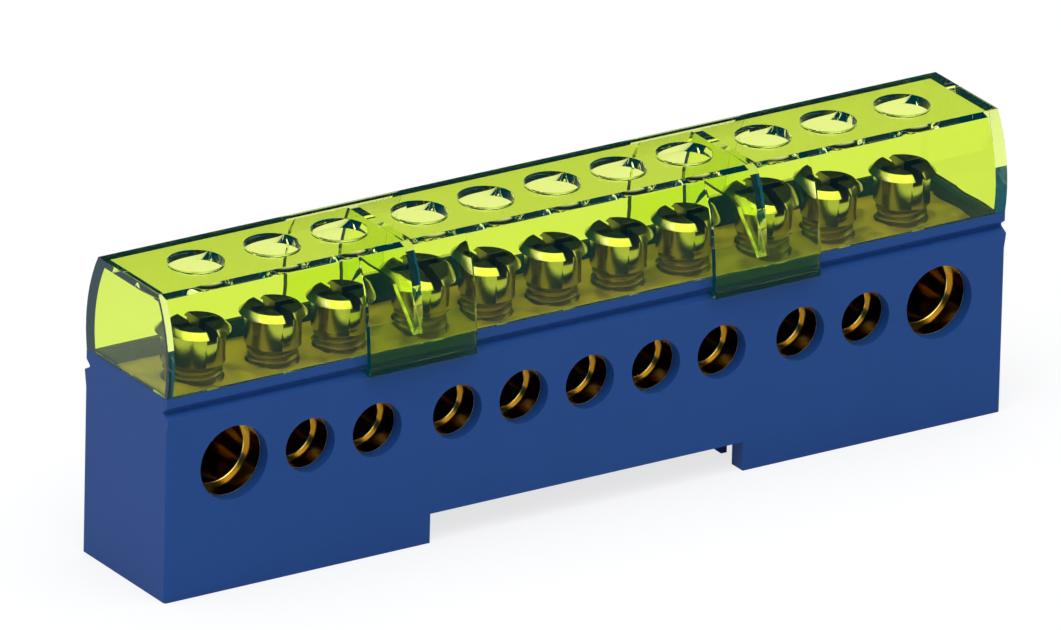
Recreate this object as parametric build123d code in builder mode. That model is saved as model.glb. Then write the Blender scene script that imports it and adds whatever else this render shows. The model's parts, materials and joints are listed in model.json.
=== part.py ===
from build123d import *
import os
from math import sqrt

# Neutral busbar terminal block for a 35 mm top-hat rail. A moulded housing stands across the
# rail, a brass bar lies in it, eleven clamping screws stand in the bar and a transparent
# cover snaps over the whole length.
# Millimetres. X runs along the bar, the wires enter from -Y, +Z is up, and the origin is the
# centre of the footprint.

# Terminals, from the middle outwards: the row is the same to both sides
pitch = 7.5
web_gap = 9.0
large_gap = 8.5
end_margin = 7.5
half_row = [0.0, pitch, 2 * pitch, 2 * pitch + web_gap, 3 * pitch + web_gap]
large_x = half_row[-1] + large_gap
terminal_x = [-large_x] + [-x for x in half_row[:0:-1]] + half_row + [large_x]
snap_x = 2 * pitch + web_gap / 2
length = 2 * (large_x + end_margin)

# Wires
small_entry_radius = 2.75
large_entry_radius = 3.75
small_bore_radius = 2.45
large_bore_radius = 3.4
wire_rise = 5.95

# Brass bar
bar_width = 12.0
bar_height = 12.3
bar_edge = 0.25
entry_depth = 2.4
bore_depth = 9.0
thread_radius = 2.25

# Housing
face_half = 7.4
wall_play = 0.05
end_wall = 1.45
floor_top = 7.0
floor_thickness = 1.4
foot_wall = 1.95
rim_rise = 1.5
rim_half = 7.2
rim_height = 0.95
rim_lead = 0.3
groove_half = 6.6
groove_drop = 1.4
groove_height = 0.2
ridge_half = 7.5
ridge_drop = 2.1
ridge_foot = 0.55
corner_radius = 0.3
rib_thickness = 1.2
rib_clearance = 0.5

# Rail foot
rail_width = 35.0
rail_play = 0.6
rail_thickness = 1.0
rail_seat_z = 3.0
rail_grip = 0.6
grip_gap = 0.1
nose_height = 0.65
latch_gap = 0.4
latch_thickness = 0.65
latch_width = 6.0
latch_gusset = 0.6
latch_tip_z = 0.1
hook_thickness = 1.2

# Cover
cover_seat_gap = 0.03
cover_height = 10.1
cover_wall = 1.0
cover_end_wall = 1.0
side_radius = 15.0
bulge_rise = 2.6
access_radius = 2.75
web_thickness = 1.0
web_arch_half = 2.85
web_arch_rise = 4.4
web_foot_rise = 0.5

# Snap tabs on the cover
tab_width = 12.0
tab_half = 8.3
tab_thickness = 0.5
tab_shoulder_half = 7.15
tab_shoulder_drop = 2.6
tab_knee_half = 7.9
tab_knee_drop = 6.1
tab_full_drop = 9.9
tab_root_drop = 5.3
tab_foot_gap = 0.25
barb_reach = 0.2
barb_height = 0.6

# Terminal screws
head_radius = 3.3
head_top_radius = 2.65
head_height = 0.6
collar_radius = 2.75
collar_height = 2.95
screw_gap = 1.8
shank_radius = 2.2
shank_length = 8.3
slot_width = 1.1
slot_depth = 1.25
cross_span = 4.6
cross_width = 1.1
cross_depth = 2.0

# Places that follow from the sizes above
bar_top = floor_top + bar_height
wire_z = floor_top + wire_rise
bar_length = length - 2 * end_wall - 2 * wall_play
bar_half = bar_width / 2
pocket_half = bar_half + wall_play
rim_top = bar_top + rim_rise
rim_bottom = rim_top - rim_height
cover_foot = rim_top + cover_seat_gap
cover_top = rim_top + cover_height
ceiling = floor_top - floor_thickness
recess_half = (rail_width + rail_play) / 2
nose_x = rail_width / 2 - rail_grip
nose_top = rail_seat_z - rail_thickness - grip_gap
inner_foot_half = face_half - foot_wall
inner_length = length - 2 * end_wall

os.makedirs("parts", exist_ok=True)


def side_y(z, inset=0.0):
    """Half width of the cover's bowed side at height z, inset from its outer surface."""
    centre_y = rim_half - sqrt(side_radius**2 - bulge_rise**2)
    centre_z = rim_top + bulge_rise
    return centre_y + sqrt((side_radius - inset) ** 2 - (z - centre_z) ** 2)


def entry_radius(x):
    """Radius of the wire entry of the terminal at x: the two end terminals are larger."""
    return large_entry_radius if abs(x) == large_x else small_entry_radius


def bore_radius(x):
    """Radius of the deeper wire bore of the terminal at x."""
    return large_bore_radius if abs(x) == large_x else small_bore_radius


# Housing: the outer section with its rim, snap groove and ridge runs the whole length
with BuildPart() as housing:
    with BuildSketch(Plane.YZ):
        with BuildLine():
            ridge_z = rim_top - ridge_drop
            groove_z = rim_top - groove_drop
            Polyline(
                (0, 0),
                (face_half, 0),
                (face_half, ridge_z - ridge_foot),
                (ridge_half, ridge_z),
                (groove_half, groove_z - groove_height),
                (groove_half, groove_z),
                (rim_half, rim_bottom),
                (rim_half, rim_top),
                (0, rim_top),
                close=True,
            )
        make_face()
        mirror(about=Plane.YZ)
    extrude(amount=length / 2, both=True)

    # Rounded upright corners
    upright = housing.edges().filter_by(Axis.Z).filter_by(lambda e: e.length > rim_height * 2)
    fillet(upright, radius=corner_radius)

    # Pocket for the bar, with a lead-in round its mouth
    with BuildSketch(Plane.XY.offset(floor_top)):
        Rectangle(inner_length, 2 * pocket_half)
    extrude(amount=rim_top - floor_top, mode=Mode.SUBTRACT)
    mouth = housing.faces().sort_by(Axis.Z)[-1].inner_wires()[0].edges()
    chamfer(mouth, length=rim_lead)

    # Hollow underside
    with BuildSketch(Plane.XY):
        Rectangle(inner_length, 2 * inner_foot_half)
    extrude(amount=ceiling, mode=Mode.SUBTRACT)

    # Ribs across the hollow, three seats on the rail and two in each foot
    foot_bay = (inner_length / 2 - recess_half) / 3
    seat_ribs = [0.0, recess_half / 2, -recess_half / 2]
    foot_ribs = [side * (recess_half + n * foot_bay) for side in (-1, 1) for n in (1, 2)]
    with BuildSketch(Plane.XY.offset(ceiling)):
        with Locations(*[(x, 0) for x in seat_ribs]):
            Rectangle(rib_thickness, 2 * inner_foot_half)
    extrude(amount=rail_seat_z - ceiling)
    with BuildSketch(Plane.XY.offset(ceiling)):
        with Locations(*[(x, 0) for x in foot_ribs]):
            Rectangle(rib_thickness, 2 * inner_foot_half)
    extrude(amount=rib_clearance - ceiling)

    # Recess for the rail through both long walls
    with BuildSketch(Plane.XZ):
        with Locations((0, rail_seat_z / 2)):
            Rectangle(2 * recess_half, rail_seat_z)
    extrude(amount=face_half, both=True, mode=Mode.SUBTRACT)

    # Fixed hook on the left: a cross wall whose lip reaches under the rail's flange
    with BuildSketch(Plane.XZ):
        with BuildLine():
            Polyline(
                (-recess_half - hook_thickness, ceiling),
                (-recess_half, ceiling),
                (-recess_half, nose_top),
                (-nose_x, nose_top),
                (-nose_x, nose_top - nose_height),
                (-recess_half, nose_top - nose_height - (recess_half - nose_x)),
                (-recess_half - hook_thickness, nose_top - nose_height - (recess_half - nose_x)),
                close=True,
            )
        make_face()
    extrude(amount=inner_foot_half, both=True)

    # Sprung latch on the right: a tongue that hangs free in the foot, with a barb
    latch_x = recess_half + latch_gap
    with BuildSketch(Plane.XZ):
        with BuildLine():
            Polyline(
                (latch_x - latch_gusset, ceiling),
                (latch_x, ceiling - latch_gusset),
                (latch_x, nose_top),
                (nose_x, nose_top),
                (nose_x, nose_top - nose_height),
                (latch_x, latch_tip_z),
                (latch_x + latch_thickness, latch_tip_z),
                (latch_x + latch_thickness, ceiling - latch_gusset),
                (latch_x + latch_thickness + latch_gusset, ceiling),
                close=True,
            )
        make_face()
    extrude(amount=latch_width / 2, both=True)

    # Wire entries through the front wall
    with BuildSketch(Plane.XZ.offset(face_half)):
        for x in terminal_x:
            with Locations((x, wire_z)):
                Circle(entry_radius(x))
    extrude(amount=bar_half - face_half, mode=Mode.SUBTRACT)
housing.part.label = "housing"
export_step(housing.part, "parts/housing.step")

# Brass bar: sawn from drawn stock, with a stepped blind bore and a tapped hole per terminal. Hole
# and shank are plain, at the M5 thread's pitch radius
with BuildPart() as busbar:
    with BuildSketch(Plane.XY.offset(floor_top)):
        Rectangle(bar_length, bar_width)
    extrude(amount=bar_height)
    chamfer(busbar.edges().filter_by(Axis.X), length=bar_edge)
    for x in terminal_x:
        with Locations(Plane((x, -bar_half, wire_z), z_dir=(0, -1, 0))):
            CounterBoreHole(bore_radius(x), entry_radius(x), entry_depth, depth=bore_depth)
        with Locations((x, 0, bar_top)):
            Hole(thread_radius, depth=bar_top - wire_z)
busbar.part.label = "busbar"
export_step(busbar.part, "parts/busbar.step")

# Cover: a thin shell with bowed sides, open below, on the housing's rim
with BuildPart() as cover:
    with BuildSketch(Plane.YZ) as cover_section:
        with BuildLine():
            ThreePointArc(
                (side_y(cover_foot), cover_foot),
                (side_y(rim_top + bulge_rise), rim_top + bulge_rise),
                (side_y(cover_top), cover_top),
            )
            Line((side_y(cover_top), cover_top), (0, cover_top))
            Line((0, cover_foot), (side_y(cover_foot), cover_foot))
            mirror(about=Plane.YZ)
        make_face()
    extrude(amount=length / 2, both=True)

    # Snap tabs: they leave the side at its top edge, stand off it from the root down and hang
    # over the rim, with a barb at the foot that reaches into the groove
    tab_foot = rim_top - ridge_drop + tab_foot_gap
    tab_inner = tab_half - tab_thickness
    root_z = cover_top - tab_root_drop
    barb_tip_z = tab_foot + barb_height / 2
    with BuildSketch(Plane.YZ.offset(snap_x - tab_width / 2)):
        with BuildLine():
            Polyline(
                (rim_half / 2, cover_top),
                (side_y(cover_top), cover_top),
                (tab_shoulder_half, cover_top - tab_shoulder_drop),
            )
            ThreePointArc(
                (tab_shoulder_half, cover_top - tab_shoulder_drop),
                (tab_knee_half, cover_top - tab_knee_drop),
                (tab_half, cover_top - tab_full_drop),
            )
            Polyline(
                (tab_half, cover_top - tab_full_drop),
                (tab_half, tab_foot),
                (tab_inner, tab_foot),
                (rim_half - barb_reach, barb_tip_z),
                (tab_inner, barb_tip_z + barb_height / 2),
                (side_y(root_z), root_z),
                (rim_half / 2, root_z),
                (rim_half / 2, cover_top),
            )
        make_face()
        mirror(about=Plane.YZ)
    extrude(amount=tab_width)
    mirror(about=Plane.YZ)

    # Inside of the shell
    with BuildSketch(Plane.YZ):
        with BuildLine():
            inner_top = cover_top - cover_wall
            ThreePointArc(
                (side_y(cover_foot, cover_wall), cover_foot),
                (side_y(rim_top + bulge_rise, cover_wall), rim_top + bulge_rise),
                (side_y(inner_top, cover_wall), inner_top),
            )
            Line((side_y(inner_top, cover_wall), inner_top), (0, inner_top))
            Line((0, cover_foot), (side_y(cover_foot, cover_wall), cover_foot))
            mirror(about=Plane.YZ)
        make_face()
    extrude(amount=length / 2 - cover_end_wall, both=True, mode=Mode.SUBTRACT)

    # Arched webs behind the tabs, between the terminals
    for side in (-1, 1):
        with BuildSketch(Plane.YZ.offset(side * snap_x)):
            add(cover_section.sketch_local)
            with BuildLine():
                web_foot_z = rim_top + web_foot_rise
                web_arch_z = rim_top + web_arch_rise
                foot_half = web_arch_half + web_arch_z - web_foot_z
                Polyline(
                    (-foot_half - cover_wall, cover_foot),
                    (-foot_half - cover_wall, web_foot_z),
                    (-foot_half, web_foot_z),
                    (-web_arch_half, web_arch_z),
                    (web_arch_half, web_arch_z),
                    (foot_half, web_foot_z),
                    (foot_half + cover_wall, web_foot_z),
                    (foot_half + cover_wall, cover_foot),
                    close=True,
                )
            make_face(mode=Mode.SUBTRACT)
        extrude(amount=web_thickness / 2, both=True)

    # Access holes over the screws
    with BuildSketch(Plane.XY.offset(cover_top)):
        with Locations(*[(x, 0) for x in terminal_x]):
            Circle(access_radius)
    extrude(amount=-cover_wall, mode=Mode.SUBTRACT)
cover.part.label = "cover"
export_step(cover.part, "parts/cover.step")

# Terminal screw: a bevelled head on a collar, with a combined slot and cross recess
with BuildPart() as screw:
    collar_z = bar_top + screw_gap
    head_z = collar_z + collar_height
    screw_top = head_z + head_height
    tip_z = collar_z - shank_length
    with BuildSketch(Plane.XZ):
        with BuildLine():
            Polyline(
                (0, tip_z),
                (shank_radius, tip_z),
                (shank_radius, collar_z),
                (collar_radius, collar_z),
                (collar_radius, head_z),
                (head_radius, head_z),
                (head_top_radius, screw_top),
                (0, screw_top),
                close=True,
            )
        make_face()
    revolve(axis=Axis.Z)

    # Slot right across the head, along Y
    with BuildSketch(Plane.XY.offset(screw_top)):
        Rectangle(slot_width, 2 * head_radius)
    extrude(amount=-slot_depth, mode=Mode.SUBTRACT)

    # Cross recess in the middle of the head
    with BuildSketch(Plane.XY.offset(screw_top)):
        Rectangle(cross_span, cross_width)
        Rectangle(cross_width, cross_span)
    extrude(amount=-cross_depth, mode=Mode.SUBTRACT)

for number, x in enumerate(terminal_x, start=1):
    terminal_screw = screw.part.moved(Location((x, 0, 0)))
    terminal_screw.label = f"terminal_screw_{number}"
    export_step(terminal_screw, f"parts/terminal_screw_{number}.step")
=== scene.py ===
"""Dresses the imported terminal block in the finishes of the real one, on a studio floor."""
import json
from math import pi, radians, sin

import bmesh
import bpy
from mathutils import Euler, Matrix, Vector

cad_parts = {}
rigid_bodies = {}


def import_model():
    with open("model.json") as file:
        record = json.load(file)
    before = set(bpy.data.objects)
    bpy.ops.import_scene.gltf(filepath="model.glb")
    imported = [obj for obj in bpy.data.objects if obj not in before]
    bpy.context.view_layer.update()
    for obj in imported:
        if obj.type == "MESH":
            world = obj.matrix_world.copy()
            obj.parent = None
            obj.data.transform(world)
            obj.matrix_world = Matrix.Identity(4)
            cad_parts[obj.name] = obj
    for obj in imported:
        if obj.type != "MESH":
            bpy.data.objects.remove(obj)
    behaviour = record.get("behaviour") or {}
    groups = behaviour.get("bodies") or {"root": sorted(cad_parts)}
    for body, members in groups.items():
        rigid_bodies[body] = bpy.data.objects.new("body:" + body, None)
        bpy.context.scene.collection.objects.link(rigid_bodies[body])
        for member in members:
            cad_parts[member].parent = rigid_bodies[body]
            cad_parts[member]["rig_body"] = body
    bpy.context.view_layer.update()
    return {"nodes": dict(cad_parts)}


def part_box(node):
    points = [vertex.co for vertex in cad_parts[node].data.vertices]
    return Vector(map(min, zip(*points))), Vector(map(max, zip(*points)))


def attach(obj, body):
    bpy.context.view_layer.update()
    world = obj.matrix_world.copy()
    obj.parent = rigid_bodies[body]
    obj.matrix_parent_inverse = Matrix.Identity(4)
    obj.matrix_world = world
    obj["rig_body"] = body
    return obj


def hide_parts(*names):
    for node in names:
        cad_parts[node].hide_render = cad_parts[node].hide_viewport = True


bl_info = {
    "name": "Terminal block",
    "version": (1, 0, 0),
    "blender": (4, 5, 0),
    "location": "3D View > Sidebar > Terminal block",
    "description": "Finishes a rail-mounted neutral bar with its housing, bar, screws and clear cover",
    "category": "Object",
}

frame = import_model()
MM = 0.001
SCREW_NODES = sorted((name for name in frame["nodes"] if name.startswith("terminal_screw_")),
                     key=lambda name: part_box(name)[0][0])
LOOSE_VERTEX = 0.0005 * MM
# Faces that meet at less than FLAT are one face, and edges over SHARP stay sharp in the shading
FLAT = radians(0.5)
SHARP = radians(35)
# How far a cutter stands out of what it cuts, and the rise of a drill's point over its radius
PROUD = 1.0 * MM
DRILL_POINT = 0.36
HOLE_STEPS = 48
HEAD_STEPS = 96
# The housing's groove and ridge: how far out they lie, and between which depths below the rim
GROOVE_HALF = 6.3 * MM
GROOVE_DEPTHS = (0.5 * MM, 2.8 * MM)
LONG_EDGE = 10 * MM
# One pitch of the thread as (0 at the root or 1 at the crest, share of the pitch)
THREAD_WAVE = ((0, 0), (0, 0.125), (1, 0.44), (1, 0.56), (0, 0.875), (0, 1))
THREAD_STEPS = 36
# The screw's tip starts at a share of the crest's radius and widens by another share of the height
TIP_SHARE = 0.8
TIP_TAPER = 0.45

# The photograph's frame and the camera fitted to it
IMAGE_WIDTH = 1061
FOCAL_LENGTH = 22363.0
SENSOR_WIDTH = 36.0
CAMERA_AZIMUTH = radians(-33.2306)
CAMERA_ELEVATION = radians(22.4846)
CAMERA_ROLL = radians(1.3845)
CAMERA_DISTANCE = 2142.44 * MM
CAMERA_AIM = Vector((1.8346, 6.0307, 14.6169)) * MM

# The studio, in millimetres and watts: the lamp, the tops of the flags and the foot of the ceiling
KEY_PLACE = (-500, -700, 1500)
KEY_SIZE = 2400
KEY_POWER = 21.0
FLAG_TOP = sin(radians(38))
CEILING_FOOT = sin(radians(50))
FLOOR_SIZE = 6.0
FLOOR_GLOW = 0.75


def linear(hex_colour):
    """Turns an sRGB hex colour into the linear values that Blender's colour sockets take."""
    channels = [int(hex_colour[i:i + 2], 16) / 255 for i in (1, 3, 5)]
    return tuple(c / 12.92 if c <= 0.04045 else ((c + 0.055) / 1.055) ** 2.4 for c in channels)


class HousingSettings(bpy.types.PropertyGroup):
    """Sizes and colours of the moulded housing."""

    colour: bpy.props.FloatVectorProperty(
        name="Polyamide", description="Colour of the blue polyamide", subtype="COLOR", size=3,
        default=linear("#1F4783"))
    edge: bpy.props.FloatProperty(
        name="Edge radius", description="Rounding that the mould leaves on every edge",
        default=0.09 * MM, unit="LENGTH", precision=5)
    groove_edge: bpy.props.FloatProperty(
        name="Groove radius", description="Rounding along the snap groove and its ridge",
        default=0.1 * MM, unit="LENGTH", precision=5)
    # Coarser than the real texture, which is too fine to show in the render
    grain: bpy.props.FloatProperty(
        name="Grain", description="Size of the mould's spark-eroded texture",
        default=0.18 * MM, unit="LENGTH", precision=5)
    flow: bpy.props.FloatProperty(
        name="Flow", description="Size of the faint clouds in the moulding's colour", default=9.0 * MM,
        unit="LENGTH", precision=5)


class CoverSettings(bpy.types.PropertyGroup):
    """Sizes and colours of the transparent cover."""

    tint: bpy.props.FloatVectorProperty(
        name="Polycarbonate", description="Tint of the clear yellow-green polycarbonate", subtype="COLOR",
        size=3, default=linear("#E9F689"))
    # Painted glow: a teal emission that stands in for the blue housing's reflection running inside the cover's
    # walls
    glow: bpy.props.FloatVectorProperty(
        name="Edge glow", description="Light that the dye gathers along the wall", subtype="COLOR", size=3,
        default=linear("#00A0F0"))
    painted_glow_strength: bpy.props.FloatProperty(
        name="Glow strength", description="Strength of the edge glow", default=0.008)
    streak: bpy.props.FloatProperty(
        name="Streak", description="Width of the streaks that the melt leaves as it flows", default=4.0 * MM,
        unit="LENGTH", precision=5)
    edge: bpy.props.FloatProperty(
        name="Edge radius", description="Rounding of the cover's edges", default=0.09 * MM, unit="LENGTH",
        precision=5)


class BarSettings(bpy.types.PropertyGroup):
    """Sizes and colours of the brass bar."""

    brass: bpy.props.FloatVectorProperty(
        name="Brass", description="Colour of the drawn brass", subtype="COLOR", size=3,
        default=linear("#F6DC70"))
    # Darker brass for the bore walls: painted shade inside the holes
    bore_wall_shade: bpy.props.FloatVectorProperty(
        name="Bored brass", description="Colour of the brass inside the drilled holes", subtype="COLOR", size=3,
        default=linear("#A8843C"))
    edge: bpy.props.FloatProperty(
        name="Drawn edge", description="Chamfer along the bar", default=0.25 * MM, unit="LENGTH", precision=5)
    sawn_edge: bpy.props.FloatProperty(
        name="Sawn edge", description="Rounding where the bar is sawn off", default=0.06 * MM, unit="LENGTH",
        precision=5)
    wire_rise: bpy.props.FloatProperty(
        name="Wire height", description="Height of the wire bores above the bar's underside",
        default=5.95 * MM, unit="LENGTH", precision=5)
    end_mouth: bpy.props.FloatProperty(
        name="End mouth", description="Radius of the mouth of the two end bores", default=3.75 * MM,
        unit="LENGTH", precision=5)
    end_bore: bpy.props.FloatProperty(
        name="End bore", description="Radius of the two end bores", default=3.4 * MM, unit="LENGTH",
        precision=5)
    mouth: bpy.props.FloatProperty(
        name="Mouth", description="Radius of the mouth of the other bores", default=2.75 * MM, unit="LENGTH",
        precision=5)
    bore: bpy.props.FloatProperty(
        name="Bore", description="Radius of the other bores", default=2.45 * MM, unit="LENGTH", precision=5)
    step_edge: bpy.props.FloatProperty(
        name="Step edge", description="Chamfer on the inner edge of the bores' step", default=0.06 * MM,
        unit="LENGTH", precision=5)
    entry_depth: bpy.props.FloatProperty(
        name="Step depth", description="Depth of the wire bores' wider mouth", default=2.4 * MM, unit="LENGTH",
        precision=5)
    bore_depth: bpy.props.FloatProperty(
        name="Bore depth", description="Depth of the wire bores to the end of their cylinder",
        default=9.0 * MM, unit="LENGTH", precision=5)
    tap_radius: bpy.props.FloatProperty(
        name="Tapped hole", description="Radius of the M5 thread's outer diameter", default=2.53 * MM,
        unit="LENGTH", precision=5)
    stain: bpy.props.FloatProperty(
        name="Stain", description="Size of the duller patches on the drawn brass", default=2.5 * MM,
        unit="LENGTH", precision=5)
    # The next two are coarser than the real marks, which are too fine to show in the render
    die_line: bpy.props.FloatProperty(
        name="Die lines", description="Spacing of the drawing die's lines", default=0.2 * MM, unit="LENGTH",
        precision=5)
    drill_feed: bpy.props.FloatProperty(
        name="Drill feed", description="Spacing of the drill's rings", default=0.25 * MM, unit="LENGTH",
        precision=5)
    thread_pitch: bpy.props.FloatProperty(
        name="Thread pitch", description="Rise of the M5 thread in one turn", default=0.8 * MM, unit="LENGTH",
        precision=5)
    tap_sink: bpy.props.FloatProperty(
        name="Countersink", description="Chamfer round the mouth of a tapped hole", default=0.15 * MM,
        unit="LENGTH", precision=5)


class ScrewSettings(bpy.types.PropertyGroup):
    """Sizes and colours of the terminal screws."""

    steel: bpy.props.FloatVectorProperty(
        name="Nickel plate", description="Colour of the plated steel screws", subtype="COLOR", size=3,
        default=linear("#C9C4B8"))
    # Darker steel for the slot and cross: painted shade in the recess
    punched: bpy.props.FloatVectorProperty(
        name="Recess", description="Colour of the punched slot and cross", subtype="COLOR", size=3,
        default=linear("#857F72"))
    # Darker steel for the thread: painted shade for the gap under the collar
    thread: bpy.props.FloatVectorProperty(
        name="Thread", description="Colour of the oiled thread", subtype="COLOR", size=3,
        default=linear("#B4AA90"))
    film: bpy.props.FloatProperty(
        name="Oil film", description="Size of the patches of oil on the thread", default=0.8 * MM, unit="LENGTH",
        precision=5)
    head_radius: bpy.props.FloatProperty(
        name="Head radius", description="Radius of the head's rim", default=3.3 * MM, unit="LENGTH",
        precision=5)
    top_radius: bpy.props.FloatProperty(
        name="Top radius", description="Radius of the head's flat top", default=2.65 * MM, unit="LENGTH",
        precision=5)
    head_height: bpy.props.FloatProperty(
        name="Head bevel", description="Height of the bevel round the head", default=0.6 * MM, unit="LENGTH",
        precision=5)
    collar_radius: bpy.props.FloatProperty(
        name="Collar radius", description="Radius of the collar below the head", default=2.75 * MM,
        unit="LENGTH", precision=5)
    collar_height: bpy.props.FloatProperty(
        name="Collar height", description="Height of the collar below the head", default=2.95 * MM,
        unit="LENGTH", precision=5)
    thread_pitch: bpy.props.FloatProperty(
        name="Thread pitch", description="Rise of the M5 thread in one turn", default=0.8 * MM, unit="LENGTH",
        precision=5)
    crest_radius: bpy.props.FloatProperty(
        name="Thread crest", description="Outer radius of the M5 thread", default=2.48 * MM, unit="LENGTH",
        precision=5)
    root_radius: bpy.props.FloatProperty(
        name="Thread root", description="Inner radius of the M5 thread", default=2.05 * MM, unit="LENGTH",
        precision=5)
    slot_width: bpy.props.FloatProperty(
        name="Slot width", description="Width of the slot across the head", default=1.1 * MM, unit="LENGTH",
        precision=5)
    slot_depth: bpy.props.FloatProperty(
        name="Slot depth", description="Depth of the slot across the head", default=1.25 * MM, unit="LENGTH",
        precision=5)
    cross_span: bpy.props.FloatProperty(
        name="Cross span", description="Length of the cross recess's arms", default=4.6 * MM, unit="LENGTH",
        precision=5)
    cross_depth: bpy.props.FloatProperty(
        name="Cross depth", description="Depth of the cross recess", default=2.0 * MM, unit="LENGTH",
        precision=5)
    # Coarser than the real feed, which is too fine to show in the render
    feed: bpy.props.FloatProperty(
        name="Lathe feed", description="Spacing of the lathe's rings", default=0.16 * MM, unit="LENGTH",
        precision=5)
    edge: bpy.props.FloatProperty(
        name="Edge radius", description="Burnish on the head's edges", default=0.05 * MM, unit="LENGTH",
        precision=5)


class StageSettings(bpy.types.PropertyGroup):
    """Colours and brightness of the studio."""

    floor: bpy.props.FloatVectorProperty(
        name="Floor", description="Colour of the floor", subtype="COLOR", size=3, default=linear("#F4F4F4"))
    ceiling: bpy.props.FloatProperty(
        name="Ceiling", description="Brightness of the studio's ceiling", default=1.5)
    flags: bpy.props.FloatVectorProperty(
        name="Flags", description="Colour of the dark flags round the studio", subtype="COLOR", size=3,
        default=linear("#161D1D"))
    card: bpy.props.FloatVectorProperty(
        name="Card", description="Colour of the teal card on the left", subtype="COLOR", size=3,
        default=linear("#194B95"))


SETTINGS = {
    "block_housing": HousingSettings,
    "block_cover": CoverSettings,
    "block_bar": BarSettings,
    "block_screw": ScrewSettings,
    "block_stage": StageSettings,
}


def wave_scale(spacing):
    """The scale of a Wave Texture whose bands lie a spacing apart: at scale 1 they repeat every 2 pi / 20."""
    return 2 * pi / (20 * spacing)


def new_material(name):
    """An empty node material and its output."""
    material = bpy.data.materials.new(name)
    material.use_nodes = True
    material.node_tree.nodes.clear()
    return material, add_node(material, "ShaderNodeOutputMaterial")


def add_node(owner, kind, settings=(), **links):
    """Adds one node. Settings name its properties or sockets, links give its sockets other nodes' outputs."""
    node = owner.node_tree.nodes.new(kind)
    for key, value in dict(settings).items():
        if key in node.inputs:
            node.inputs[key].default_value = value
        else:
            setattr(node, key, value)
    for key, output in links.items():
        owner.node_tree.links.new(output, node.inputs[key.replace("_", " ")])
    return node


def connect(owner, output, node, socket):
    """Links one output to a socket of a node, by its name or number."""
    owner.node_tree.links.new(output, node.inputs[socket])


def polyamide():
    """Blue polyamide 6.6, injection moulded in a spark-eroded tool: satin, with a fine even grain."""
    settings = bpy.context.scene.block_housing
    material, surface = new_material("polyamide_blue")
    coordinates = add_node(material, "ShaderNodeTexCoord")
    flow = add_node(material, "ShaderNodeTexNoise", {"Scale": 1 / settings.flow, "Detail": 2.0},
                    Vector=coordinates.outputs["Object"])
    colour = add_node(material, "ShaderNodeMix", {"data_type": "RGBA"})
    connect(material, flow.outputs["Fac"], colour, 0)
    for socket, share in ((6, 0.95), (7, 1.05)):
        colour.inputs[socket].default_value = (*(share * channel for channel in settings.colour), 1.0)
    grain = add_node(material, "ShaderNodeTexNoise", {"Scale": 1 / settings.grain, "Detail": 3.0},
                     Vector=coordinates.outputs["Object"])
    bump = add_node(material, "ShaderNodeBump", {"Strength": 0.12, "Distance": 0.01 * MM},
                    Height=grain.outputs["Fac"])
    shader = add_node(material, "ShaderNodeBsdfPrincipled",
                      {"Roughness": 0.45, "IOR": 1.53, "Specular IOR Level": 0.1},
                      Base_Color=colour.outputs[2], Normal=bump.outputs["Normal"])
    connect(material, shader.outputs["BSDF"], surface, "Surface")
    return material


def polycarbonate():
    """Yellow-green polycarbonate, polished tool: clear, with faint flow streaks and a painted teal glow in its
    edges, an emission that stands in for the blue housing's reflection.
    """
    settings = bpy.context.scene.block_cover
    material, surface = new_material("polycarbonate_clear")
    coordinates = add_node(material, "ShaderNodeTexCoord")
    along = add_node(material, "ShaderNodeMapping", {"Scale": (0.2, 1.0, 1.0)},
                     Vector=coordinates.outputs["Object"])
    streaks = add_node(material, "ShaderNodeTexNoise", {"Scale": 1 / settings.streak, "Detail": 1.0},
                       Vector=along.outputs["Vector"])
    colour = add_node(material, "ShaderNodeMix", {"data_type": "RGBA"})
    connect(material, streaks.outputs["Fac"], colour, 0)
    for socket, share in ((6, 0.985), (7, 1.015)):
        colour.inputs[socket].default_value = (*(share * channel for channel in settings.tint), 1.0)
    # The emission below is the painted glow, a painted reflection of the blue housing in the walls
    shader = add_node(material, "ShaderNodeBsdfPrincipled",
                      {"Roughness": 0.0, "IOR": 1.58, "Specular Tint": (0.0, 0.0, 0.0, 1.0),
                       "Transmission Weight": 1.0, "Emission Color": (*settings.glow, 1.0),
                       "Emission Strength": settings.painted_glow_strength},
                      Base_Color=colour.outputs[2])
    connect(material, shader.outputs["BSDF"], surface, "Surface")
    return material


def drawn_brass():
    """Brass bar, drawn through a die: satin gold, with the die's fine lines along its length."""
    settings = bpy.context.scene.block_bar
    material, surface = new_material("brass_drawn")
    coordinates = add_node(material, "ShaderNodeTexCoord")
    along = add_node(material, "ShaderNodeMapping", {"Scale": (0.02, 1.0, 1.0)},
                     Vector=coordinates.outputs["Object"])
    lines = add_node(material, "ShaderNodeTexNoise", {"Scale": 1 / settings.die_line, "Detail": 2.0},
                     Vector=along.outputs["Vector"])
    bump = add_node(material, "ShaderNodeBump", {"Strength": 0.5, "Distance": 0.02 * MM},
                    Height=lines.outputs["Fac"])
    stains = add_node(material, "ShaderNodeTexNoise", {"Scale": 1 / settings.stain, "Detail": 2.0},
                      Vector=coordinates.outputs["Object"])
    gloss = add_node(material, "ShaderNodeMapRange",
                     {"From Min": 0.35, "From Max": 0.65, "To Min": 0.35, "To Max": 0.8},
                     Value=stains.outputs["Fac"])
    shader = add_node(material, "ShaderNodeBsdfPrincipled",
                      {"Base Color": (*settings.brass, 1.0), "Metallic": 0.8},
                      Normal=bump.outputs["Normal"], Roughness=gloss.outputs["Result"])
    connect(material, shader.outputs["BSDF"], surface, "Surface")
    return material


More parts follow.
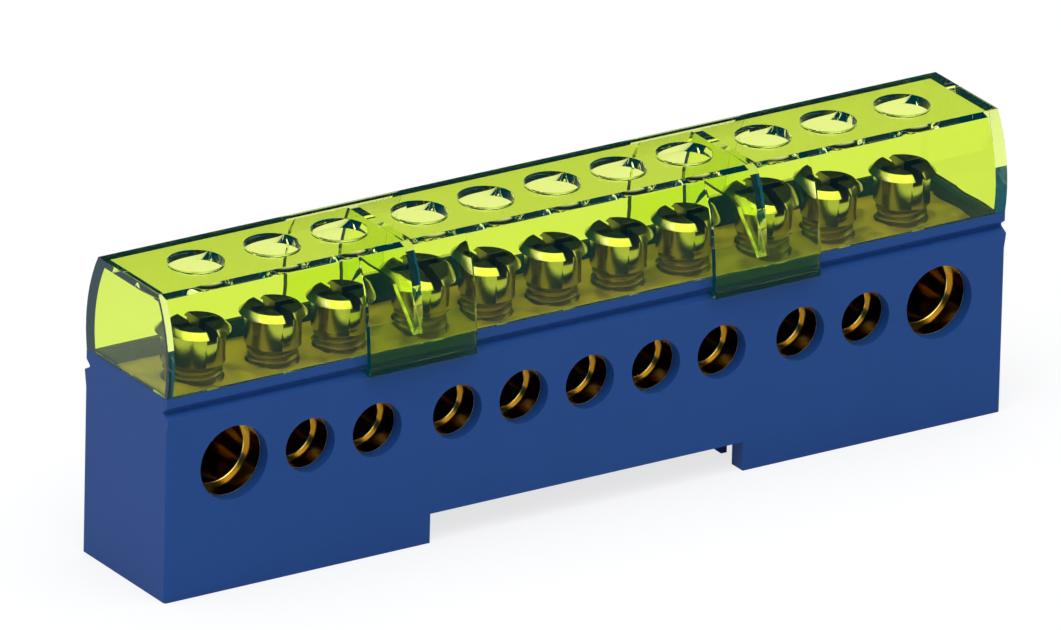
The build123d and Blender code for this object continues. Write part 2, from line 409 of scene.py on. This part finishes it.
def machined_brass(name, colour, axis, spacing, roughness):
    """Brass cut by a tool: smoother than the drawn bar, with the tool's marks at their spacing along an axis."""
    material, surface = new_material(name)
    coordinates = add_node(material, "ShaderNodeTexCoord")
    rings = add_node(material, "ShaderNodeTexWave",
                     {"bands_direction": axis, "Scale": wave_scale(spacing), "Distortion": 0.5},
                     Vector=coordinates.outputs["Object"])
    bump = add_node(material, "ShaderNodeBump", {"Strength": 0.3, "Distance": 0.03 * spacing},
                    Height=rings.outputs["Fac"])
    shader = add_node(material, "ShaderNodeBsdfPrincipled",
                      {"Base Color": (*colour, 1.0), "Roughness": roughness, "Metallic": 1.0},
                      Normal=bump.outputs["Normal"])
    connect(material, shader.outputs["BSDF"], surface, "Surface")
    return material


def nickel_plate():
    """Turned steel, nickel plated: a dark mirror, with the lathe's rings round the axis of each screw."""
    settings = bpy.context.scene.block_screw
    material, surface = new_material("steel_nickel_plated")
    coordinates = add_node(material, "ShaderNodeTexCoord")
    rings = add_node(material, "ShaderNodeTexWave",
                     {"wave_type": "RINGS", "rings_direction": "SPHERICAL", "Distortion": 0.6,
                      "Scale": wave_scale(settings.feed / MM)},
                     Vector=coordinates.outputs["UV"])
    bump = add_node(material, "ShaderNodeBump", {"Strength": 0.25, "Distance": 0.004 * MM},
                    Height=rings.outputs["Fac"])
    shader = add_node(material, "ShaderNodeBsdfPrincipled",
                      {"Base Color": (*settings.steel, 1.0), "Roughness": 0.2, "Metallic": 1.0},
                      Normal=bump.outputs["Normal"])
    connect(material, shader.outputs["BSDF"], surface, "Surface")
    return material


def recess_shaded_steel():
    """Steel inside the punched slot and cross: dull, and coloured darker than the head as painted shade in the
    recess.
    """
    settings = bpy.context.scene.block_screw
    material, surface = new_material("steel_recess_painted_shade")
    coordinates = add_node(material, "ShaderNodeTexCoord")
    drag = add_node(material, "ShaderNodeTexNoise", {"Scale": 1 / settings.feed, "Detail": 2.0},
                    Vector=coordinates.outputs["Object"])
    bump = add_node(material, "ShaderNodeBump", {"Strength": 0.3, "Distance": 0.02 * MM},
                    Height=drag.outputs["Fac"])
    shader = add_node(material, "ShaderNodeBsdfPrincipled",
                      {"Base Color": (*settings.punched, 1.0), "Roughness": 0.35, "Metallic": 1.0},
                      Normal=bump.outputs["Normal"])
    connect(material, shader.outputs["BSDF"], surface, "Surface")
    return material


def shaded_thread_steel():
    """Rolled steel thread: dull grey flanks, coloured darker than the head as painted shade for the gap under the
    collar.
    """
    settings = bpy.context.scene.block_screw
    material, surface = new_material("steel_thread_painted_shade")
    coordinates = add_node(material, "ShaderNodeTexCoord")
    film = add_node(material, "ShaderNodeTexNoise", {"Scale": 1 / settings.film, "Detail": 2.0},
                    Vector=coordinates.outputs["Object"])
    gloss = add_node(material, "ShaderNodeMapRange", {"To Min": 0.22, "To Max": 0.42}, Value=film.outputs["Fac"])
    shader = add_node(material, "ShaderNodeBsdfPrincipled",
                      {"Base Color": (*settings.thread, 1.0), "Metallic": 1.0}, Roughness=gloss.outputs["Result"])
    connect(material, shader.outputs["BSDF"], surface, "Surface")
    return material


def keep_flat(piece):
    """Shades broad faces flat and leaves the turn of the light to the narrow rounded edges."""
    shading = piece.modifiers.new("broad faces flat", "WEIGHTED_NORMAL")
    shading.weight = 50
    shading.keep_sharp = True


def finished(name, shape, *materials):
    """Makes a bmesh an object of its own, smooth but for the edges that stay sharp."""
    mesh = bpy.data.meshes.new(name)
    shape.to_mesh(mesh)
    shape.free()
    for material in materials:
        mesh.materials.append(material)
    # A CAD node's own normals belong to its loose triangles and would shade the whole faces flat
    leftover = mesh.attributes.get("custom_normal")
    if leftover:
        mesh.attributes.remove(leftover)
    mesh.shade_smooth()
    mesh.set_sharp_from_angle(angle=SHARP)
    piece = bpy.data.objects.new(name, mesh)
    bpy.context.collection.objects.link(piece)
    keep_flat(piece)
    return piece


def stand_for(piece, node):
    """Puts a piece in the place of a CAD node: on that node's body, with the node hidden."""
    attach(piece, frame["nodes"][node]["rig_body"])
    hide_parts(node)


def welded(node):
    """A bmesh of a CAD node with its loose triangles merged into whole faces."""
    shape = bmesh.new()
    shape.from_mesh(frame["nodes"][node].data)
    bmesh.ops.remove_doubles(shape, verts=shape.verts, dist=LOOSE_VERTEX)
    bmesh.ops.dissolve_limit(shape, angle_limit=FLAT, verts=shape.verts, edges=shape.edges)
    return shape


def round_edges(shape, edges, radius, segments):
    """Rounds edges as a mould or a wheel leaves them."""
    bmesh.ops.bevel(shape, geom=edges, offset=radius, offset_type="OFFSET", affect="EDGES",
                    segments=segments, profile=0.5, material=-1, clamp_overlap=True)


def sharp_edges(shape, angle=30):
    """The edges where two faces meet at more than an angle in degrees."""
    return [e for e in shape.edges if e.is_manifold and e.calc_face_angle() > radians(angle)]


def turned(profile, steps):
    """A closed body turned about Z from a profile of (radius, height), from one pole to the other."""
    shape = bmesh.new()
    line = [shape.verts.new((radius, 0, height)) for radius, height in profile]
    edges = [shape.edges.new(pair) for pair in zip(line, line[1:])]
    bmesh.ops.spin(shape, geom=line + edges, cent=(0, 0, 0), axis=(0, 0, 1), angle=2 * pi, steps=steps,
                   use_merge=True)
    bmesh.ops.remove_doubles(shape, verts=shape.verts, dist=LOOSE_VERTEX)
    bmesh.ops.recalc_face_normals(shape, faces=shape.faces)
    return shape


def combined(shapes):
    """One bmesh from several, which are freed."""
    whole = bmesh.new()
    for shape in shapes:
        mesh = bpy.data.meshes.new("part")
        shape.to_mesh(mesh)
        shape.free()
        whole.from_mesh(mesh)
        bpy.data.meshes.remove(mesh)
    return whole


def cut(piece, shape, *materials):
    """Takes a bmesh out of a piece. The faces that it leaves keep the cutter's materials."""
    cutter = finished("cutter", shape, *materials)
    cutter.modifiers.clear()
    piece.modifiers.clear()
    modifier = piece.modifiers.new("cut", "BOOLEAN")
    modifier.operation = "DIFFERENCE"
    modifier.solver = "EXACT"
    modifier.material_mode = "TRANSFER"
    modifier.object = cutter
    depsgraph = bpy.context.evaluated_depsgraph_get()
    mesh = bpy.data.meshes.new_from_object(piece.evaluated_get(depsgraph))
    mesh.set_sharp_from_angle(angle=SHARP)
    piece.modifiers.clear()
    piece.data = mesh
    bpy.data.objects.remove(cutter)
    keep_flat(piece)


class BLOCK_OT_housing(bpy.types.Operator):
    """Finish the moulded housing"""

    bl_idname = "block.housing"
    bl_label = "Housing"

    def execute(self, context):
        settings = context.scene.block_housing
        rim_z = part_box("housing")[1].z
        shape = welded("housing")

        def in_groove(edge):
            place = edge.verts[0].co
            along = abs(place.x - edge.verts[1].co.x) > LONG_EDGE
            return along and abs(place.y) > GROOVE_HALF and GROOVE_DEPTHS[0] < rim_z - place.z < GROOVE_DEPTHS[1]

        round_edges(shape, [e for e in sharp_edges(shape, 20) if in_groove(e)], settings.groove_edge, 4)
        round_edges(shape, sharp_edges(shape), settings.edge, 2)
        stand_for(finished("housing_moulding", shape, polyamide()), "housing")
        return {"FINISHED"}


class BLOCK_OT_busbar(bpy.types.Operator):
    """Make the brass bar with its bores and tapped holes"""

    bl_idname = "block.busbar"
    bl_label = "Bar"

    def execute(self, context):
        settings = context.scene.block_bar
        low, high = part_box("busbar")
        shape = bmesh.new()
        bmesh.ops.create_cube(shape, size=1.0)
        bmesh.ops.scale(shape, vec=high - low, verts=shape.verts)
        bmesh.ops.translate(shape, vec=(low + high) / 2, verts=shape.verts)
        along = [e for e in shape.edges if abs(e.verts[0].co.x - e.verts[1].co.x) > settings.edge]
        round_edges(shape, along, settings.edge, 1)
        round_edges(shape, sharp_edges(shape), settings.sawn_edge, 2)
        bar = finished("busbar_brass", shape, drawn_brass())
        # The bore walls take the darker colour, painted shade in the holes; the step keeps the bar's brass
        drilled = machined_brass("brass_drilled_painted_shade", settings.bore_wall_shade, "Y", settings.drill_feed, 0.12)
        faced = machined_brass("brass_faced", settings.brass, "X", settings.drill_feed, 0.2)
        tapped = machined_brass("brass_tapped", settings.brass, "Z", settings.thread_pitch, 0.3)
        wire_z = low.z + settings.wire_rise
        bores = []
        taps = []
        for index, node in enumerate(SCREW_NODES):
            x = sum(corner.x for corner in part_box(node)) / 2
            if index in (0, len(SCREW_NODES) - 1):
                wire_bore = self.stepped(settings, settings.end_mouth, settings.end_bore)
            else:
                wire_bore = self.stepped(settings, settings.mouth, settings.bore)
            bmesh.ops.rotate(wire_bore, verts=wire_bore.verts, cent=(0, 0, 0),
                             matrix=Matrix.Rotation(-pi / 2, 3, "X"))
            bmesh.ops.translate(wire_bore, vec=(x, low.y, wire_z), verts=wire_bore.verts)
            bores.append(wire_bore)
            tap = turned([
                (0, wire_z - high.z - PROUD), (settings.tap_radius, wire_z - high.z),
                (settings.tap_radius, -settings.tap_sink), (settings.tap_radius + settings.tap_sink, 0),
                (settings.tap_radius + settings.tap_sink, PROUD), (0, PROUD)], HOLE_STEPS)
            bmesh.ops.translate(tap, vec=(x, 0, high.z), verts=tap.verts)
            taps.append(tap)
        cut(bar, combined(bores), drilled, faced)
        cut(bar, combined(taps), tapped)
        stand_for(bar, "busbar")
        return {"FINISHED"}

    def stepped(self, settings, mouth, bore):
        """The cutter for a wire bore, upright: a wide mouth, a bright step and a bore with a drilled end."""
        depth, edge = settings.entry_depth, settings.step_edge
        shape = turned([
            (0, -PROUD), (mouth, -PROUD), (mouth, depth), (bore + edge, depth), (bore, depth + edge),
            (bore, settings.bore_depth), (0, settings.bore_depth + bore * DRILL_POINT)], HOLE_STEPS)
        # The walls get the first material, with the painted shade; the step gets the second, in the bar's own
        # brass
        for face in shape.faces:
            at_step = depth - edge < face.calc_center_median().z < depth + edge
            face.material_index = 1 if at_step else 0
        return shape


class BLOCK_OT_cover(bpy.types.Operator):
    """Finish the transparent cover"""

    bl_idname = "block.cover"
    bl_label = "Cover"

    def execute(self, context):
        shape = welded("cover")
        outer = [edge for edge in sharp_edges(shape) if edge.is_convex]
        round_edges(shape, outer, context.scene.block_cover.edge, 2)
        stand_for(finished("cover_clear", shape, polycarbonate()), "cover")
        return {"FINISHED"}


class BLOCK_OT_screws(bpy.types.Operator):
    """Make the terminal screws, turned from one pattern"""

    bl_idname = "block.screws"
    bl_label = "Screws"

    def execute(self, context):
        settings = context.scene.block_screw
        low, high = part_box(SCREW_NODES[0])
        collar_z = high.z - settings.head_height - settings.collar_height
        head = turned([
            (0, collar_z), (settings.collar_radius, collar_z),
            (settings.collar_radius, high.z - settings.head_height),
            (settings.head_radius, high.z - settings.head_height), (settings.top_radius, high.z),
            (0, high.z)], HEAD_STEPS)
        plate, recess, oiled = nickel_plate(), recess_shaded_steel(), shaded_thread_steel()
        pattern = finished("pattern", head, plate)
        for size in ((settings.slot_width, 3 * settings.head_radius, 2 * settings.slot_depth),
                     (settings.cross_span, settings.slot_width, 2 * settings.cross_depth),
                     (settings.slot_width, settings.cross_span, 2 * settings.cross_depth)):
            bar = bmesh.new()
            bmesh.ops.create_cube(bar, size=1.0)
            bmesh.ops.scale(bar, vec=size, verts=bar.verts)
            bmesh.ops.translate(bar, vec=(0, 0, high.z), verts=bar.verts)
            cut(pattern, bar, recess)
        shape = bmesh.new()
        shape.from_mesh(pattern.data)
        bpy.data.objects.remove(pattern)
        bmesh.ops.dissolve_limit(shape, angle_limit=FLAT, verts=shape.verts, edges=shape.edges)
        round_edges(shape, sharp_edges(shape), settings.edge, 2)
        thread = self.thread(settings, low.z, collar_z + settings.edge)
        for face in thread.faces:
            face.material_index = 2
        shape = combined([shape, thread])
        plan = shape.loops.layers.uv.new("plan")
        for face in shape.faces:
            for loop in face.loops:
                loop[plan].uv = loop.vert.co.xy / MM
        for node in SCREW_NODES:
            x = sum(corner.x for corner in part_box(node)) / 2
            copy = shape.copy()
            bmesh.ops.translate(copy, vec=(x, 0, 0), verts=copy.verts)
            number = node.rsplit("_", 1)[1]
            stand_for(finished(f"screw_{number}_plated", copy, plate, recess, oiled), node)
        shape.free()
        return {"FINISHED"}

    def thread(self, settings, tip, top):
        """A right-hand thread: one V of the profile swept up its helix, cut flat at both ends."""
        pitch, crest, root = settings.thread_pitch, settings.crest_radius, settings.root_radius
        turns = int((top - tip) / pitch) + 3
        shape = bmesh.new()
        line = [shape.verts.new((crest if at_crest else root, 0, tip + (height - 1.5) * pitch))
                for at_crest, height in THREAD_WAVE]
        edges = [shape.edges.new(pair) for pair in zip(line, line[1:])]
        bmesh.ops.spin(shape, geom=line + edges, cent=(0, 0, 0), axis=(0, 0, 1), angle=2 * pi * turns,
                       steps=THREAD_STEPS * turns, dvec=(0, 0, pitch / THREAD_STEPS))
        bmesh.ops.remove_doubles(shape, verts=shape.verts, dist=LOOSE_VERTEX)
        for height, direction in ((tip, -1), (top, 1)):
            bmesh.ops.bisect_plane(shape, geom=shape.verts[:] + shape.edges[:] + shape.faces[:],
                                   plane_co=(0, 0, height), plane_no=(0, 0, direction), clear_outer=True)
        bmesh.ops.remove_doubles(shape, verts=shape.verts, dist=LOOSE_VERTEX)
        bmesh.ops.edgeloop_fill(shape, edges=[e for e in shape.edges if e.is_boundary])
        # The tip tapers, so that at its lowest it stays clear of the narrow bores' walls
        for vertex in shape.verts:
            reach = TIP_SHARE * crest + TIP_TAPER * (vertex.co.z - tip)
            radius = vertex.co.xy.length
            if radius > reach:
                vertex.co.xy *= reach / radius
        bmesh.ops.recalc_face_normals(shape, faces=shape.faces)
        return shape


def aim_camera():
    """A camera where the photograph was taken from, with its roll about the line of sight."""
    data = bpy.data.cameras.new("camera")
    data.sensor_width = SENSOR_WIDTH
    data.lens = SENSOR_WIDTH * FOCAL_LENGTH / IMAGE_WIDTH
    data.clip_end = 100.0
    camera = bpy.data.objects.new("camera", data)
    bpy.context.collection.objects.link(camera)
    turn = Euler((pi / 2 - CAMERA_ELEVATION, 0, CAMERA_AZIMUTH)).to_matrix()
    turn = turn @ Matrix.Rotation(CAMERA_ROLL, 3, "Z")
    camera.matrix_world = Matrix.Translation(CAMERA_AIM + turn.col[2] * CAMERA_DISTANCE) @ turn.to_4x4()
    bpy.context.scene.camera = camera


def soft_light(name, place, size, power):
    """A square area lamp at a place in millimetres, facing the block."""
    data = bpy.data.lights.new(name, "AREA")
    data.size = size * MM
    data.energy = power
    lamp = bpy.data.objects.new(name, data)
    bpy.context.collection.objects.link(lamp)
    lamp.location = Vector(place) * MM
    direction = CAMERA_AIM - lamp.location
    lamp.rotation_euler = direction.to_track_quat("-Z", "Y").to_euler()


def studio_paper():
    """White paper floor: matt, with most of its brightness its own so that it stays near white."""
    settings = bpy.context.scene.block_stage
    material, surface = new_material("floor_paper")
    paper = add_node(material, "ShaderNodeBsdfDiffuse", {"Color": (*settings.floor, 1.0)})
    white = add_node(material, "ShaderNodeEmission", {"Strength": 1.0})
    rays = add_node(material, "ShaderNodeLightPath")
    seen = add_node(material, "ShaderNodeMath", {"operation": "MAXIMUM"})
    connect(material, rays.outputs["Is Camera Ray"], seen, 0)
    connect(material, rays.outputs["Is Glossy Ray"], seen, 1)
    also = add_node(material, "ShaderNodeMath", {"operation": "MAXIMUM"})
    connect(material, seen.outputs["Value"], also, 0)
    connect(material, rays.outputs["Is Transmission Ray"], also, 1)
    share = add_node(material, "ShaderNodeMath", {"operation": "MULTIPLY"})
    share.inputs[1].default_value = FLOOR_GLOW
    connect(material, also.outputs["Value"], share, 0)
    mixed = add_node(material, "ShaderNodeMixShader")
    connect(material, share.outputs["Value"], mixed, 0)
    connect(material, paper.outputs["BSDF"], mixed, 1)
    connect(material, white.outputs["Emission"], mixed, 2)
    connect(material, mixed.outputs["Shader"], surface, "Surface")
    return material


def studio_world():
    """A studio with a bright ceiling, dark flags and a teal card round it, all white where it is seen directly."""
    settings = bpy.context.scene.block_stage
    world = bpy.data.worlds.new("studio")
    world.use_nodes = True
    world.node_tree.nodes.clear()
    surface = add_node(world, "ShaderNodeOutputWorld")
    coordinates = add_node(world, "ShaderNodeTexCoord")
    direction = add_node(world, "ShaderNodeSeparateXYZ", Vector=coordinates.outputs["Generated"])
    leftwards = add_node(world, "ShaderNodeMath", {"operation": "LESS_THAN"})
    leftwards.inputs[1].default_value = 0.0
    connect(world, direction.outputs["X"], leftwards, 0)
    round_about = add_node(world, "ShaderNodeMix", {"data_type": "RGBA"})
    connect(world, leftwards.outputs["Value"], round_about, 0)
    for socket, wall in ((6, settings.flags), (7, settings.card)):
        bands = add_node(world, "ShaderNodeValToRGB")
        connect(world, direction.outputs["Z"], bands, "Fac")
        bands.color_ramp.elements[0].position = FLAG_TOP
        bands.color_ramp.elements[0].color = (*(channel / 2 for channel in wall), 1.0)
        bands.color_ramp.elements[1].position = CEILING_FOOT
        bands.color_ramp.elements[1].color = (*[settings.ceiling / 2] * 3, 1.0)
        connect(world, bands.outputs["Color"], round_about, socket)
    studio = add_node(world, "ShaderNodeBackground", {"Strength": 2.0},
                      Color=round_about.outputs[2])
    white = add_node(world, "ShaderNodeBackground", {"Strength": 1.0, "Color": (1.0, 1.0, 1.0, 1.0)})
    rays = add_node(world, "ShaderNodeLightPath")
    mirrored = add_node(world, "ShaderNodeMath", {"operation": "LESS_THAN"})
    mirrored.inputs[1].default_value = 0.5
    connect(world, rays.outputs["Glossy Depth"], mirrored, 0)
    through = add_node(world, "ShaderNodeMath", {"operation": "MULTIPLY"})
    connect(world, rays.outputs["Is Transmission Ray"], through, 0)
    connect(world, mirrored.outputs["Value"], through, 1)
    seen = add_node(world, "ShaderNodeMath", {"operation": "MAXIMUM"})
    connect(world, rays.outputs["Is Camera Ray"], seen, 0)
    connect(world, through.outputs["Value"], seen, 1)
    mixed = add_node(world, "ShaderNodeMixShader")
    connect(world, seen.outputs["Value"], mixed, 0)
    connect(world, studio.outputs["Background"], mixed, 1)
    connect(world, white.outputs["Background"], mixed, 2)
    connect(world, mixed.outputs["Shader"], surface, "Surface")
    return world


class BLOCK_OT_stage(bpy.types.Operator):
    """Set up the floor, the lamps, the world and the camera"""

    bl_idname = "block.stage"
    bl_label = "Stage"

    def execute(self, context):
        shape = bmesh.new()
        bmesh.ops.create_grid(shape, x_segments=1, y_segments=1, size=FLOOR_SIZE)
        floor = finished("floor", shape, studio_paper())
        context.scene.world = studio_world()
        soft_light("key", KEY_PLACE, KEY_SIZE, KEY_POWER)
        aim_camera()
        context.scene.view_settings.view_transform = "Standard"
        # Light runs down inside the cover's walls, from side to side, before it comes out
        context.scene.cycles.max_bounces = 16
        context.scene.cycles.glossy_bounces = 8
        context.scene.cycles.transmission_bounces = 12
        return {"FINISHED"}


OPERATORS = (BLOCK_OT_housing, BLOCK_OT_busbar, BLOCK_OT_screws, BLOCK_OT_cover, BLOCK_OT_stage)


class BLOCK_PT_panel(bpy.types.Panel):
    """Lists the pieces and their settings"""

    bl_idname = "BLOCK_PT_panel"
    bl_label = "Terminal block"
    bl_space_type = "VIEW_3D"
    bl_region_type = "UI"
    bl_category = "Terminal block"

    def draw(self, context):
        for operator in OPERATORS:
            self.layout.operator(operator.bl_idname)
        for name, group in SETTINGS.items():
            box = self.layout.box()
            for field in group.__annotations__:
                box.prop(getattr(context.scene, name), field)


def register():
    for group in SETTINGS.values():
        bpy.utils.register_class(group)
    for name, group in SETTINGS.items():
        setattr(bpy.types.Scene, name, bpy.props.PointerProperty(type=group))
    for cls in (*OPERATORS, BLOCK_PT_panel):
        bpy.utils.register_class(cls)


def unregister():
    for cls in reversed((*OPERATORS, BLOCK_PT_panel)):
        bpy.utils.unregister_class(cls)
    for name, group in reversed(list(SETTINGS.items())):
        delattr(bpy.types.Scene, name)
        bpy.utils.unregister_class(group)


def main():
    """Makes every piece and the stage."""
    register()
    bpy.ops.block.housing()
    bpy.ops.block.busbar()
    bpy.ops.block.screws()
    bpy.ops.block.cover()
    bpy.ops.block.stage()


if __name__ == "__main__":
    main()
